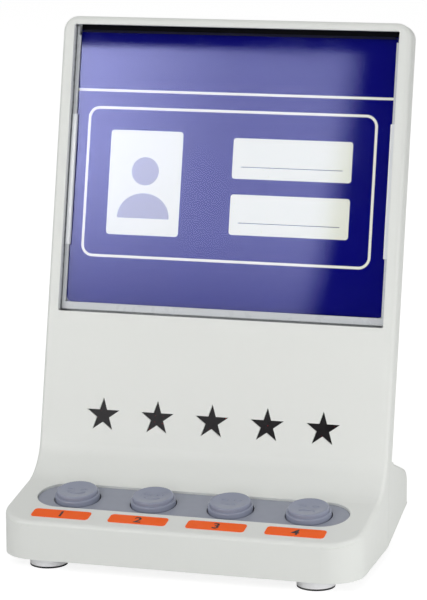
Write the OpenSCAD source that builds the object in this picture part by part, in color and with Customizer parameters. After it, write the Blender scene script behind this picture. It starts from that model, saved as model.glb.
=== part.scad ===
// Customer feedback button terminal: a leaning card panel on a wedge base with four buttons.
// Frame: X to the right, Y to the rear, Z up; origin under the middle of the whole, on the table.

/* [Panel] */
// Width of the panel and of the base
body_w = 166; // [160:0.5:180]
// Length of the panel's front face, from the base top to its upper edge
panel_len = 211.5; // [200:0.5:225]
// Thickness of the panel, front face to back face
panel_t = 11.5; // [11.3:0.1:14]
// Lean of the panel, back from upright
panel_lean = 12.7; // [8:0.1:16]
// Radius of the panel's two upper corners
panel_corner_r = 7; // [4:0.5:10]

/* [Base] */
// Length of the key deck, along its slope, from the panel to the front edge
deck_len = 56; // [54:0.5:62]
// Slope of the key deck, rising to the rear
deck_slope = 9.7; // [6:0.1:12]
// Height of the front wall
front_wall_h = 17.7; // [17:0.1:22]
// Radius of the base's front corners, seen from above
base_corner_r = 16; // [12:0.5:20]
// Radius of the sweep between the key deck and the panel
sweep_r = 20.5; // [14:0.5:24]

/* [Hump] */
// Depth of the hump behind the parting line
hump_depth = 41; // [38:0.5:50]
// Height, along the panel, at which the hump leaves the panel's back
hump_rise = 13.5; // [12:0.5:20]
// Fall of the hump's top towards the rear
hump_fall = 20; // [15:0.5:22]
// Radius of the hump's upper rear edge
hump_r = 8; // [5:0.5:10]
// Slope of the underside, rising to the rear
underside_slope = 14; // [10:0.5:15]

/* [Shells] */
// Wall thickness of both shells
wall = 2.2; // [1.8:0.1:2.4]
// Depth of the front shell at the panel's side
split_depth = 6; // [5.7:0.1:6.4]
// Gap that shows as the parting line
seam_gap = 0.2; // [0.1:0.05:0.3]
// Rounding of the outer edges
edge_r = 2; // [1:0.1:2.5]
// Rounding of the lower rear edge
rear_edge_r = 1.5; // [0.5:0.1:2]
// Clearance between pieces that are seated in each other
fit_gap = 0.3; // [0.2:0.05:0.4]

/* [Window] */
// Width of the frame beside the card window
window_side = 5.5; // [4:0.1:9]
// Height of the window's lower edge above the key deck, along the panel
window_low = 73.7; // [70:0.1:80]
// Height of the rim above the window
rim_top = 3.8; // [3.4:0.1:5]
// Radius of the window's corners
window_r = 0.8; // [0.4:0.1:2]

/* [Card pocket] */
// Width of a rail, seen from the front
rail_w = 1.7; // [1.5:0.1:3]
// Thickness of a rail's lip
lip_t = 1; // [0.8:0.1:1.2]
// Depth of the lip below the panel's face
lip_sink = 4.2; // [3.9:0.1:4.4]
// Width of the rail's web beside the clear sheet
web_w = 0.8; // [0.6:0.1:0.9]
// Height of the ledge that carries the sheet and the card
ledge_h = 3.3; // [2.5:0.1:4]
// Dark gap below the ledge
ledge_gap = 1.1; // [0.8:0.1:1.6]
// Distance from the lips' upper ends to the window's upper edge
rail_end = 4.7; // [2:0.1:8]
// Thickness of the clear sheet
cover_t = 1.5; // [1.2:0.1:1.7]
// Distance from the sheet's upper edge to the window's upper edge
cover_end = 1.9; // [0.8:0.1:4]
// Height of the sheet's bevelled upper edge
cover_bevel = 1.3; // [0.5:0.1:1.3]
// Thickness of the printed card
card_t = 0.5; // [0.3:0.05:0.6]
// Distance from the card's upper edge to the panel's upper edge
card_end = 0.4; // [0.3:0.1:1]
// Thickness of the tray's back
tray_t = 1.4; // [1:0.1:1.6]
// How far the tray's back reaches behind the window's border
tray_lap = 1.5; // [1:0.1:1.7]
// Length of a clip
clip_len = 61; // [50:0.5:70]
// Height of a clip's lower end above the window's lower edge
clip_low = 31.2; // [25:0.1:40]
// Thickness of a clip
clip_t = 0.7; // [0.5:0.05:0.75]

/* [Stars] */
// Number of stars
star_count = 5; // [3:1:5]
// Distance of the outer stars' middles from the sides
star_side = 30.6; // [28:0.1:36]
// Height of the star row above the key deck, along the panel
star_row = 26.4; // [25:0.1:40]
// Radius of a star's points
star_r = 8.3; // [6:0.1:9]
// Depth of the stars below the panel's face
star_sink = 0.5; // [0.3:0.1:1]
// Thickness of the lens strip
lens_t = 1.2; // [1:0.1:1.4]
// Diameter of a lamp
led_d = 5; // [3:0.1:6]

/* [Buttons] */
// Number of buttons
button_count = 4; // [2:1:4]
// Distance of the key plate's ends from the sides
plate_side = 10.55; // [7:0.05:14]
// Distance of the button row in front of the panel, along the deck
button_row = 26.6; // [26:0.1:30]
// Diameter of the hole for a button
button_hole_d = 21.4; // [20:0.1:23]
// Running gap around a button
button_gap = 0.5; // [0.3:0.05:0.7]
// Height of a button above the deck
button_rise = 3.3; // [3:0.1:5]
// Width of the step around a button's cap
button_step = 0.9; // [0.5:0.1:1.5]
// Height of the step above the deck
step_rise = 1.5; // [0.8:0.1:1.8]
// Depth of the dish in a button's top
dish_depth = 0.8; // [0.3:0.1:0.8]
// Travel of a button
button_travel = 2; // [1:0.1:2.5]
// Half width of the key plate
plate_half = 12.3; // [11.8:0.1:13]
// Distance from the last button to the end of the key plate
plate_end = 18.3; // [16:0.1:19]
// Depth of the key plate below the deck
plate_sink = 1; // [0.3:0.1:1]
// Thickness of the key plate's flange
flange_t = 1.5; // [1:0.1:1.8]
// Width of the key plate's flange
flange_w = 2.5; // [1.5:0.1:3]
// Depth of the circuit board's upper face below the deck
key_board_depth = 12; // [11.6:0.1:12.4]
// Height of a tact switch
switch_h = 5; // [4:0.1:5.5]
// Width of a tact switch
switch_w = 6; // [5:0.1:6.2]

/* [Springs] */
// Mean diameter of a return spring
spring_d = 10.4; // [9.6:0.1:11]
// Thickness of the spring wire
spring_wire = 0.7; // [0.5:0.05:0.8]
// Number of turns
spring_turns = 5; // [4:0.5:6]

/* [Labels] */
// Width of a label
label_w = 26.9; // [20:0.1:28]
// Depth of a label
label_d = 7.8; // [6:0.1:8.4]
// Distance from the button row to the middle of the labels
label_row = 20; // [19:0.1:20.6]
// How far the labels sit to the left of their buttons
label_shift = 0.9; // [0:0.1:2]
// Radius of a label's corners
label_r = 1.7; // [0.5:0.1:3]
// Thickness of a label
label_t = 0.25; // [0.1:0.05:0.4]

/* [Feet] */
// Diameter of a foot
foot_d = 17; // [14:0.5:18]
// Height of a foot with its pad
foot_h = 4.6; // [4:0.1:8]
// Thickness of the black pad under a foot
pad_t = 0.8; // [0.5:0.1:1.5]
// Distance of the feet's middles from the sides
foot_side = 21; // [19:0.5:33]
// Distance of the front feet behind the front wall
foot_front = 11.5; // [10:0.5:16]
// Distance of the rear feet in front of the hump's rear wall
foot_rear = 13; // [10:0.5:18]

/* [Inner parts] */
// Thickness of the circuit boards
board_t = 1.6; // [1.2:0.1:1.7]
// Diameter of the screw bosses
boss_d = 6.4; // [5.6:0.1:7]
// Diameter of a screw's shank
screw_d = 2.6; // [2:0.1:2.8]
// Diameter of a screw's head
head_d = 5; // [4.4:0.1:5.4]
// Height of a screw's head
head_h = 1.3; // [1:0.1:1.4]
// Width of the data socket
socket_w = 13.2; // [12.6:0.1:16]
// Height of the data socket
socket_h = 11.8; // [11.4:0.1:12]
// Length of the data socket
socket_len = 18; // [16:0.5:20]
// Diameter of the loudspeaker
speaker_d = 28; // [24:0.5:30]
// Depth of the loudspeaker
speaker_h = 6.5; // [5:0.1:8]

/* [Hidden] */
$fn = 64;

SHELL_GREY = [0.85, 0.85, 0.83];
SLATE = [0.50, 0.53, 0.60];
BUTTON_GREY = [0.52, 0.54, 0.62];
ORANGE = [0.93, 0.35, 0.13];
NAVY = [0.10, 0.10, 0.55];
BOARD_GREEN = [0.08, 0.36, 0.20];

// Small fixed sizes.
over = 1;              // how far a cutter runs past what it cuts
part_gap = 1;          // room between neighbouring inner parts
least_r = 0.3;
hairline = 0.03;       // depth of the line where two stretches of rounding meet
soft_r = 0.7;          // rounding of the buttons' rims
half_w = body_w / 2;
window_w = body_w - 2 * window_side;
star_pitch = 2 * (half_w - star_side) / (star_count - 1);
button_pitch = 2 * (half_w - plate_side - plate_end) / (button_count - 1);
foot_x = half_w - foot_side;

// Where the deck and the panel would meet as sharp faces, and the ends of the side profile.
deck_run = deck_len * cos(deck_slope);
top_rear_y = (panel_len - edge_r) * sin(panel_lean) + (panel_t - edge_r) * cos(panel_lean) + edge_r;
overall_d = deck_run + top_rear_y;
front_y = -overall_d / 2;
vertex_y = front_y + deck_run;
vertex_z = foot_h + front_wall_h + deck_len * sin(deck_slope);
base_corner_stop = deck_len - base_corner_r;

// A point of the side profile: s up the panel's face from the vertex, n into the panel.
function panel_pt(s, n) = [
    vertex_y + s * sin(panel_lean) + n * cos(panel_lean),
    vertex_z + s * cos(panel_lean) - n * sin(panel_lean)
];

knee_y = panel_pt(0, split_depth)[0];
rear_y = knee_y + hump_depth;
hump_start = panel_pt(hump_rise, panel_t);
profile = [
    [front_y, foot_h],
    [knee_y, foot_h],
    [rear_y, foot_h + hump_depth * tan(underside_slope)],
    [rear_y, hump_start[1] - (rear_y - hump_start[0]) * tan(hump_fall)],
    hump_start,
    panel_pt(panel_len, panel_t),
    panel_pt(panel_len, 0),
    [vertex_y, vertex_z],
    [front_y, foot_h + front_wall_h]
];
profile_r = [0, 0, rear_edge_r, hump_r, edge_r, 0, 0, sweep_r, edge_r];

// The same profile with its floor let down, for the front shell, which is open below.
open_profile = [
    for (i = [0 : len(profile) - 1]) i < 2 ? [profile[i][0], -foot_h - wall] : profile[i]
];

// Plane geometry of the profile.
function unit(v) = v / norm(v);
function left_of(v) = [-v[1], v[0]];
function cross2(a, b) = a[0] * b[1] - a[1] * b[0];
function before(p, i) = p[(i + len(p) - 1) % len(p)];
function after(p, i) = p[(i + 1) % len(p)];
function meet(p, d, q, e) = p + d * cross2(q - p, e) / cross2(d, e);
function is_convex(p, i) = cross2(p[i] - before(p, i), after(p, i) - p[i]) > 0;
function shrink(p, d) = [
    for (i = [0 : len(p) - 1])
        let (a = unit(p[i] - before(p, i)), b = unit(after(p, i) - p[i]))
        meet(p[i] + left_of(a) * d, a, p[i] + left_of(b) * d, b)
];
function shrink_r(p, r, d) = [
    for (i = [0 : len(p) - 1])
        r[i] == 0 ? 0 : is_convex(p, i) ? max(r[i] - d, least_r) : r[i] + d
];
function tangent_len(p, i, r) =
    let (a = unit(before(p, i) - p[i]), b = unit(after(p, i) - p[i]), half = acos(a * b) / 2)
    r / tan(half);
function arc_centre(p, i, r) =
    let (a = unit(before(p, i) - p[i]), b = unit(after(p, i) - p[i]), half = acos(a * b) / 2)
    p[i] + unit(a + b) * r / sin(half);
function tangent_in(p, i, r) = p[i] + unit(before(p, i) - p[i]) * tangent_len(p, i, r);
function tangent_out(p, i, r) = p[i] + unit(after(p, i) - p[i]) * tangent_len(p, i, r);

// The sliver between a sharp corner and its rounding, to take off an outer corner.
module corner_sliver(p, i, r) {
    c = arc_centre(p, i, r);
    difference() {
        polygon([p[i], tangent_in(p, i, r), c, tangent_out(p, i, r)]);
        translate(c) circle(r);
    }
}

// The filling of an inner corner, rooted in the solid behind it.
module corner_filling(p, i, r) {
    out = unit(arc_centre(p, i, r) - p[i]);
    c = arc_centre(p, i, r) - out * hairline;
    difference() {
        polygon([
            p[i] - out * r / 3, tangent_in(p, i, r) - out * hairline, c,
            tangent_out(p, i, r) - out * hairline
        ]);
        translate(c) circle(r);
    }
}

module rounded_outline(p, radii) {
    difference() {
        union() {
            polygon(p);
            for (i = [0 : len(p) - 1])
                if (radii[i] > 0 && !is_convex(p, i)) corner_filling(p, i, radii[i]);
        }
        for (i = [0 : len(p) - 1])
            if (radii[i] > 0 && is_convex(p, i)) corner_sliver(p, i, radii[i]);
    }
}

module both_sides() {
    children();
    mirror([1, 0, 0]) children();
}

// Places a side profile, drawn in Y and Z, along X.
module along_x(width) {
    rotate([90, 0, 90]) linear_extrude(height = width, center = true) children();
}

// Panel frame: X across, Y up the panel's face, Z out of it; depth is -Z.
module on_panel(s = 0) {
    translate([0, vertex_y, vertex_z]) rotate([90 - panel_lean, 0, 0]) translate([0, s, 0]) children();
}

// Deck frame: X across, Y up the slope, Z out of the deck; origin in the button row.
module on_deck(x = 0) {
    translate([0, vertex_y, vertex_z]) rotate([deck_slope, 0, 0]) translate([x, -button_row, 0]) children();
}

// Slab of the panel frame between two depths.
module slab(from, to) {
    translate([0, 0, -to]) linear_extrude(height = to - from) children();
}

module rounded_rect(w, d, r) {
    straight_w = w - 2 * r;
    straight_d = d - 2 * r;
    square([w, straight_d], center = true);
    square([straight_w, d], center = true);
    for (x = [-1, 1], y = [-1, 1])
        translate([x * straight_w / 2, y * straight_d / 2]) circle(r);
}

module stadium(half_len, half_wide) {
    square([2 * (half_len - half_wide), 2 * half_wide], center = true);
    for (side = [-1, 1]) translate([side * (half_len - half_wide), 0]) circle(half_wide);
}

// What rounding takes off an outer corner at +X, +Y, whose rounding is centred on the origin.
module corner_cut(r) {
    difference() {
        square(r + over);
        circle(r);
    }
}

// The housing as one solid, or what is left of it inside a wall of the given thickness.
module body_solid(outline, inset) {
    base_r = base_corner_r - inset;
    top_r = panel_corner_r - inset;
    w = half_w - inset;
    difference() {
        along_x(2 * w) rounded_outline(shrink(outline, inset), shrink_r(outline, profile_r, inset));
        both_sides() {
            translate([w - base_r, front_y + inset + base_r, -2 * foot_h])
                linear_extrude(height = vertex_z + 2 * foot_h) mirror([0, 1]) corner_cut(base_r);
            on_panel(panel_len - inset - top_r) translate([w - top_r, 0, 0])
                slab(-over, panel_t + over) corner_cut(top_r);
        }
    }
}

// Section of a rounding cutter at the +X edge of a face that lies at zero, solid below it.
module edge_section(r, deeper = 0) {
    difference() {
        translate([half_w - r - deeper, -r - deeper]) square(r + deeper + over);
        translate([half_w - r, -r]) circle(r - deeper);
    }
}

// Places a section square to the profile at p, with the direction of travel d along Z.
module across_profile(p, d) {
    translate([0, p[0], p[1]]) rotate([atan2(-d[0], d[1]), 0, 0]) children();
}

// Cutter that rounds the side edge along one straight stretch of the profile.
module round_straight(p, q, r) {
    across_profile(p, unit(q - p)) linear_extrude(height = norm(q - p)) edge_section(r);
}

// The fine line in which two stretches meet at p.
module round_join(p, d, r) {
    across_profile(p, unit(d)) linear_extrude(height = 4 * hairline, center = true)
        edge_section(r, hairline);
}

// The same along a round stretch; hollow is true where the profile sweeps inwards.
module round_arc(p, i, bend, r) {
    c = arc_centre(p, i, bend);
    a = tangent_in(p, i, bend) - c;
    b = tangent_out(p, i, bend) - c;
    hollow = !is_convex(p, i);
    start = hollow ? atan2(b[1], b[0]) : atan2(a[1], a[0]);
    sweep = acos(unit(a) * unit(b));
    translate([0, c[0], c[1]]) rotate([90, 0, 90]) rotate([0, 0, start])
        rotate_extrude(angle = sweep) difference() {
            translate([hollow ? bend - over : bend - r, half_w - r]) square(r + over);
            translate([hollow ? bend + r : bend - r, half_w - r]) circle(r);
        }
    round_join(tangent_in(p, i, bend), p[i] - before(p, i), r);
    round_join(tangent_out(p, i, bend), after(p, i) - p[i], r);
}

// Cutter that rounds an outer corner: a quarter ring with its axis along Z.
module round_corner(corner_r, r) {
    rotate_extrude(angle = 90) difference() {
        translate([corner_r - r, -r]) square(r + over);
        translate([corner_r - r, -r]) circle(r);
    }
}

// Cutter along the panel's upper edge, in the panel frame with its origin on that edge.
module round_top_edge() {
    along_x(2 * (half_w - panel_corner_r)) difference() {
        translate([-edge_r, -edge_r]) square(edge_r + over);
        translate([-edge_r, -edge_r]) circle(edge_r);
    }
}

module front_edge_cutters() {
    sweep = 7;
    side_top = panel_pt(panel_len - panel_corner_r, 0);
    deck_start = tangent_out(profile, sweep, sweep_r);
    deck_end = [vertex_y, vertex_z] - base_corner_stop * [cos(deck_slope), sin(deck_slope)];
    round_join(side_top, profile[sweep] - side_top, edge_r);
    round_straight(side_top, tangent_in(profile, sweep, sweep_r), edge_r);
    round_arc(profile, sweep, sweep_r, edge_r);
    round_straight(deck_start, deck_end, edge_r);
    round_join(deck_end, deck_end - deck_start, edge_r);
    translate([0, vertex_y, vertex_z]) rotate([deck_slope, 0, 0])
        translate([half_w - base_corner_r, -base_corner_stop, 0])
        rotate([0, 0, -90]) round_corner(base_corner_r, edge_r);
    on_panel(panel_len - panel_corner_r) translate([half_w - panel_corner_r, 0, 0])
        round_corner(panel_corner_r, edge_r);
}

module rear_edge_cutters() {
    hump_top = 3;
    root = 4;
    side_top = panel_pt(panel_len - panel_corner_r, panel_t);
    round_straight(profile[root], side_top, edge_r);
    round_join(side_top, side_top - profile[root], edge_r);
    round_straight(tangent_out(profile, hump_top, hump_r), tangent_in(profile, root, edge_r), edge_r);
    round_arc(profile, hump_top, hump_r, edge_r);
    round_straight(profile[2], tangent_in(profile, hump_top, hump_r), edge_r);
    on_panel(panel_len - panel_corner_r) translate([half_w - panel_corner_r, 0, -panel_t])
        mirror([0, 0, 1]) round_corner(panel_corner_r, edge_r);
}

module front_zone() {
    along_x(2 * body_w) polygon([
        panel_pt(2 * panel_len, split_depth), panel_pt(0, split_depth), [knee_y, -over],
        [2 * front_y, -over], [2 * front_y, 2 * panel_len]
    ]);
}

module rear_zone() {
    along_x(2 * body_w) polygon([
        panel_pt(2 * panel_len, split_depth + seam_gap), panel_pt(0, split_depth + seam_gap),
        [knee_y + seam_gap, -over], [3 * rear_y, -over], [3 * rear_y, 2 * panel_len]
    ]);
}

// Height of the underside and of the deck at a place along Y.
function under_z(y) = foot_h + max(0, y - knee_y) * tan(underside_slope);
function deck_z(y) = vertex_z - (vertex_y - y) * tan(deck_slope);

// Hump frame: X across, Y down its top to the rear, Z out of it; origin where it leaves the panel.
module on_hump(v = 0) {
    translate([0, hump_start[0], hump_start[1]]) rotate([-hump_fall, 0, 0]) translate([0, v, 0]) children();
}

// Extrudes a section, drawn in X and Z, along the panel.
module along_panel(from, to) {
    translate([0, to, 0]) rotate([90, 0, 0]) linear_extrude(height = to - from) children();
}

// Card window and pocket, as depths below the panel's face and heights up it.
window_half = window_w / 2;
window_high = panel_len - rim_top;
thin_gap = fit_gap / 2;
rail_out = window_half - fit_gap;
rail_in = rail_out - rail_w;
pocket_half = rail_out - web_w;
card_half = pocket_half - fit_gap;
lip_back = lip_sink + lip_t;
cover_face = lip_back + thin_gap;
card_face = cover_face + cover_t + thin_gap;
tray_face = card_face + card_t + thin_gap;
tray_back = tray_face + tray_t;
tray_half = window_half + tray_lap;
ledge_low = window_low + ledge_gap;
ledge_top = ledge_low + ledge_h;
rail_high = window_high - rail_end;
cover_high = window_high - cover_end;
card_high = panel_len - card_end;
card_corner_r = 3;
rib_t = 1.5;

// Star row, from the face inwards.
star_x = [for (i = [0 : star_count - 1]) (i - (star_count - 1) / 2) * star_pitch];
lens_border = 1.4;
lens_half = max(star_x) + star_r + lens_border;
lens_rise = star_r + lens_border;
lens_back = wall + lens_t;
star_board_face = split_depth + fit_gap;
star_board_back = star_board_face + board_t;
star_post_x = lens_half + boss_d / 2 + part_gap;
led_h = 2.2;

// Keys, as heights above the deck; what lies under it is negative.
button_x = [for (i = [0 : button_count - 1]) (i - (button_count - 1) / 2) * button_pitch];
plate_half_len = max(button_x) + plate_end;
plate_back = -wall - flange_t;
plate_post_d = 5;
plate_post_y = 8;
button_r = button_hole_d / 2 - button_gap;
button_flange_w = 1;
button_flange_t = 1.4;
button_flange_r = button_hole_d / 2 + button_flange_w;
button_flange_top = plate_back - thin_gap;
button_flange_low = button_flange_top - button_flange_t;
cap_r = button_r - button_step;
button_wall = 1.8;
button_ceiling = button_rise - dish_depth - button_wall;
dish_border = 1;
dish_r = cap_r - dish_border;
dish_ball_r = (dish_r * dish_r + dish_depth * dish_depth) / (2 * dish_depth);
board_face = -key_board_depth;
plunger_rise = 1.2;
plunger_d = 3.4;
switch_body_h = switch_h - plunger_rise;
stem_r = 2.2;
stem_low = board_face + switch_h + button_travel + thin_gap;
key_post_y = plate_half + flange_w + boss_d / 2 + fit_gap;
key_post_inset = 18;
board_border = 1.6;
board_r = 2;
key_board_half_w = max(button_x) + button_hole_d / 2 + board_border;
key_board_half_d = key_post_y + boss_d / 2;

// Screwed joints between the shells: four from below and two from behind.
lower_boss_h = 2;
base_screw_sink = 2.4;
panel_screw_sink = 1.9;
panel_screw_inset = 13;
panel_screw_rise = 3;
seam_boss_z = foot_h + wall + lower_boss_h;
screw_seat_z = foot_h + base_screw_sink;
base_screw_x = foot_x + (foot_d + head_d) / 2 + part_gap;
base_screw_y = [front_y + foot_front - part_gap, vertex_y - tangent_len(profile, 7, sweep_r)];
base_screw_len = 8.5;
panel_screw = [half_w - panel_screw_inset, (window_low + star_row + lens_rise) / 2 + panel_screw_rise];
panel_boss_n = split_depth + part_gap;
panel_seat_n = panel_t - panel_screw_sink;
panel_screw_len = 5.5;
board_screw_len = 4.5;
pilot_play = 0.1;
hole_play = 0.6;
pilot_d = screw_d + pilot_play;
hole_d = screw_d + hole_play;
counterbore_d = head_d + hole_play;
blind_t = 0.4;         // what is left under a blind hole, beside the wall

// Board in the hump, with the socket at its rear edge.
main_half_w = 36;
main_rear_gap = 6.5;
main_reach = 6;
main_lift = 0.5;
main_rear_y = rear_y - main_rear_gap;
main_front_y = knee_y - main_reach;
main_z = under_z(main_rear_y) + wall / cos(underside_slope) + main_lift;
main_post_x = 30;
main_post_inset = [2.5, 12];
main_post_y = [knee_y + main_post_inset[0], rear_y - main_post_inset[1]];
socket_sink = 2.4;
jack_floor = 1.9;
socket_low = main_z + board_t;
socket_face_y = rear_y - socket_sink;
jack_w = 9.8;
jack_h = 6.6;
jack_low = socket_low + jack_floor;
jack_depth = 13;
latch_w = 6;
latch_h = 2.2;
speaker_x = -45;
speaker_border = 1.6;
speaker_v = speaker_d / 2 + speaker_border;
magnet_step = 4.5;
magnet_d = speaker_d - 2 * magnet_step;
ring_t = 1.2;
ring_h = 4;
slot_w = 1.6;
slot_pitch = 4;

module star(r) {
    inner = r * sin(18) / sin(54);
    polygon([for (i = [0 : 9]) let (q = i % 2 == 0 ? r : inner) [q * sin(36 * i), q * cos(36 * i)]]);
}

module screw(length) {
    cross_w = head_d / 2;
    cross_slot = 0.6;
    cross_h = 1.4;
    difference() {
        union() {
            translate([0, 0, -head_h]) cylinder(d = head_d, h = head_h);
            cylinder(d = screw_d, h = length);
        }
        translate([0, 0, -head_h]) {
            cube([cross_w, cross_slot, cross_h], center = true);
            cube([cross_slot, cross_w, cross_h], center = true);
        }
    }
}

module at_base_screws() {
    both_sides() for (y = base_screw_y) translate([base_screw_x, y, 0]) children();
}

module at_panel_screws() {
    on_panel(panel_screw[1]) both_sides() translate([panel_screw[0], 0, 0]) children();
}

module at_key_posts() {
    on_deck() for (x = [-1, 1], y = [-1, 1])
        translate([x * (max(button_x) - key_post_inset), y * key_post_y, 0]) children();
}

module at_star_posts() {
    on_panel(star_row) both_sides() translate([star_post_x, 0, 0]) children();
}

module at_main_posts() {
    both_sides() for (y = main_post_y) translate([main_post_x, y, main_z]) children();
}

module front_bosses() {
    rooting = 0.3 * wall;
    for (side = [-1, 1], y = base_screw_y) {
        top = deck_z(y - boss_d / 2) - rooting;
        translate([side * base_screw_x, y, seam_boss_z]) cylinder(d = boss_d, h = top - seam_boss_z);
    }
    at_panel_screws() translate([0, 0, -panel_boss_n]) cylinder(d = boss_d, h = panel_boss_n - wall / 2);
    at_star_posts() translate([0, 0, -star_board_face]) cylinder(d = boss_d, h = star_board_face - wall / 2);
    at_key_posts() translate([0, 0, board_face]) cylinder(d = boss_d, h = -board_face - wall / 2);
}

module front_boss_holes() {
    blind = wall + blind_t;
    at_base_screws() translate([0, 0, seam_boss_z - over]) cylinder(d = pilot_d, h = base_screw_len);
    at_panel_screws() translate([0, 0, -panel_boss_n - over])
        cylinder(d = pilot_d, h = panel_boss_n + over - blind);
    at_star_posts() translate([0, 0, -star_board_face - over])
        cylinder(d = pilot_d, h = star_board_face + over - blind);
    at_key_posts() translate([0, 0, board_face - over])
        cylinder(d = pilot_d, h = over - board_face - blind);
}

module front_openings() {
    on_panel((window_low + window_high) / 2) slab(-over, wall + over)
        rounded_rect(window_w, window_high - window_low, window_r);
    on_panel(star_row) slab(-over, wall + over) for (x = star_x) translate([x, 0]) star(star_r);
    on_deck() slab(-over, wall + over) stadium(plate_half_len + fit_gap, plate_half + fit_gap);
}

module front_shell() {
    color(SHELL_GREY) difference() {
        union() {
            difference() {
                intersection() {
                    body_solid(profile, 0);
                    front_zone();
                }
                body_solid(open_profile, wall);
            }
            front_bosses();
        }
        front_openings();
        front_boss_holes();
        both_sides() front_edge_cutters();
        on_panel(panel_len) round_top_edge();
    }
}

// Floor that closes the base, seen from the side; its rear end is rooted in the hump's underside.
module floor_plate() {
    inset = wall + fit_gap;
    root = 1.5;
    root_rise = 0.4 * root;
    r = base_corner_r - inset;
    difference() {
        along_x(2 * (half_w - inset)) polygon([
            [front_y + inset, foot_h], [knee_y, foot_h], [knee_y + root, foot_h + root_rise],
            [knee_y + root, foot_h + wall], [front_y + inset, foot_h + wall]
        ]);
        both_sides() translate([half_w - inset - r, front_y + inset + r, 0])
            linear_extrude(height = vertex_z) mirror([0, 1]) corner_cut(r);
    }
}

// Tongue on the panel's sides that locates the rear shell inside the front one.
module locating_tongue() {
    tongue_t = 1;
    base_h = 2;
    reach = 1.5;
    inner = half_w - wall - fit_gap - tongue_t;
    both_sides() on_panel() along_panel(star_row, panel_len - panel_corner_r - base_h) {
        translate([inner, -split_depth - base_h]) square([wall, base_h - seam_gap]);
        translate([inner, -split_depth - base_h / 2]) square([tongue_t, base_h / 2 + reach]);
    }
}

module tray_ribs() {
    end_gap = 15;
    rib_x = 0.62 * window_half;
    for (x = [-1, 0, 1]) on_panel(window_low + end_gap)
        slab(tray_back, panel_t - wall / 2) translate([x * rib_x - rib_t / 2, 0])
        square([rib_t, window_high - window_low - 2 * end_gap]);
}

module rear_bosses() {
    seat_border = 0.75;
    foot_post_top = under_z(rear_y - foot_rear + foot_d / 2 + seat_border) + least_r;
    at_base_screws() translate([0, 0, foot_h + wall / 2])
        cylinder(d = boss_d + 2 * part_gap, h = seam_boss_z - foot_h - wall / 2);
    at_panel_screws() translate([0, 0, -panel_t + wall / 2])
        cylinder(d = boss_d + part_gap, h = panel_t - wall / 2 - panel_boss_n);
    both_sides() for (y = main_post_y) translate([main_post_x, y, under_z(y) + wall / 2])
        cylinder(d = boss_d, h = main_z - under_z(y) - wall / 2);
    both_sides() translate([foot_x, rear_y - foot_rear, foot_h])
        cylinder(d = foot_d + 2 * seat_border, h = foot_post_top - foot_h);
    on_hump(speaker_v) translate([speaker_x, 0, -wall - ring_h]) difference() {
        cylinder(d = speaker_d + 2 * (fit_gap + ring_t), h = ring_h + wall / 2);
        translate([0, 0, -over]) cylinder(d = speaker_d + 2 * fit_gap, h = ring_h + over);
    }
}

module speaker_grille() {
    grille_r = speaker_d / 2 - 2;
    rows = floor((grille_r - slot_w / 2) / slot_pitch);
    on_hump(speaker_v) translate([speaker_x, 0, 0]) slab(-over, wall + over) for (i = [-rows : rows]) {
        half = sqrt(pow(grille_r, 2) - pow(i * slot_pitch, 2)) - slot_w / 2;
        translate([0, i * slot_pitch]) stadium(half, slot_w / 2);
    }
}

module rear_holes() {
    on_panel(panel_len) slab(card_face - thin_gap, card_face + card_t + thin_gap)
        square([2 * (card_half + fit_gap), 3 * wall], center = true);
    at_base_screws() {
        translate([0, 0, foot_h - over]) cylinder(d = hole_d, h = seam_boss_z);
        translate([0, 0, foot_h - over]) cylinder(d = counterbore_d, h = screw_seat_z - foot_h + over);
    }
    at_panel_screws() {
        translate([0, 0, -panel_t - over]) cylinder(d = hole_d, h = panel_t);
        translate([0, 0, -panel_t - over]) cylinder(d = counterbore_d, h = panel_t - panel_seat_n + over);
    }
    at_main_posts() translate([0, 0, board_t - board_screw_len - thin_gap])
        cylinder(d = pilot_d, h = board_screw_len + over);
    translate([-socket_w / 2 - fit_gap, rear_y - 2 * wall, socket_low - fit_gap])
        cube([socket_w + 2 * fit_gap, 3 * wall, socket_h + 2 * fit_gap]);
}

module rear_shell() {
    color(SHELL_GREY) difference() {
        union() {
            difference() {
                intersection() {
                    body_solid(profile, 0);
                    rear_zone();
                }
                body_solid(profile, wall);
            }
            floor_plate();
            locating_tongue();
            tray_ribs();
            rear_bosses();
        }
        rear_holes();
        speaker_grille();
        both_sides() rear_edge_cutters();
        on_panel(panel_len) translate([0, 0, -panel_t]) mirror([0, 0, 1]) round_top_edge();
    }
}

module card_tray() {
    border = 1.2;
    corner = 2;
    tray_low = window_low - tray_lap;
    tray_high = window_high + tray_lap - fit_gap;
    color("darkgray") on_panel() {
        translate([0, (tray_low + tray_high) / 2]) slab(tray_face, tray_back)
            rounded_rect(2 * tray_half, tray_high - tray_low, corner);
        both_sides() {
            slab(wall, tray_face) translate([tray_half - border, tray_low + corner])
                square([border, tray_high - tray_low - 2 * corner]);
            slab(lip_sink, lip_back) translate([rail_in, ledge_low])
                square([rail_w, rail_high - ledge_low]);
            slab(lip_sink, tray_face) translate([pocket_half, ledge_low])
                square([web_w, tray_high - corner - ledge_low]);
        }
        slab(lip_sink, tray_face) translate([-rail_out, ledge_low]) square([2 * rail_out, ledge_h]);
        slab(wall, tray_face) translate([-tray_half + corner, tray_low])
            square([2 * (tray_half - corner), border]);
    }
}

// Section of a clip over the rail at +X: a rounded plate with a skirt at its inner edge.
module clip_section() {
    skirt = 0.5;
    rail_gap = 0.1;
    inner = rail_in - skirt - rail_gap;
    mid = -lip_sink + clip_t / 2;
    translate([inner + clip_t / 2, mid - clip_t / 2]) square([rail_out - inner - clip_t, clip_t]);
    translate([rail_out - clip_t / 2, mid]) circle(clip_t / 2);
    translate([inner + clip_t / 2, mid]) circle(clip_t / 2);
    translate([inner, -lip_back]) square([skirt, lip_back - lip_sink + clip_t / 2]);
}

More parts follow.
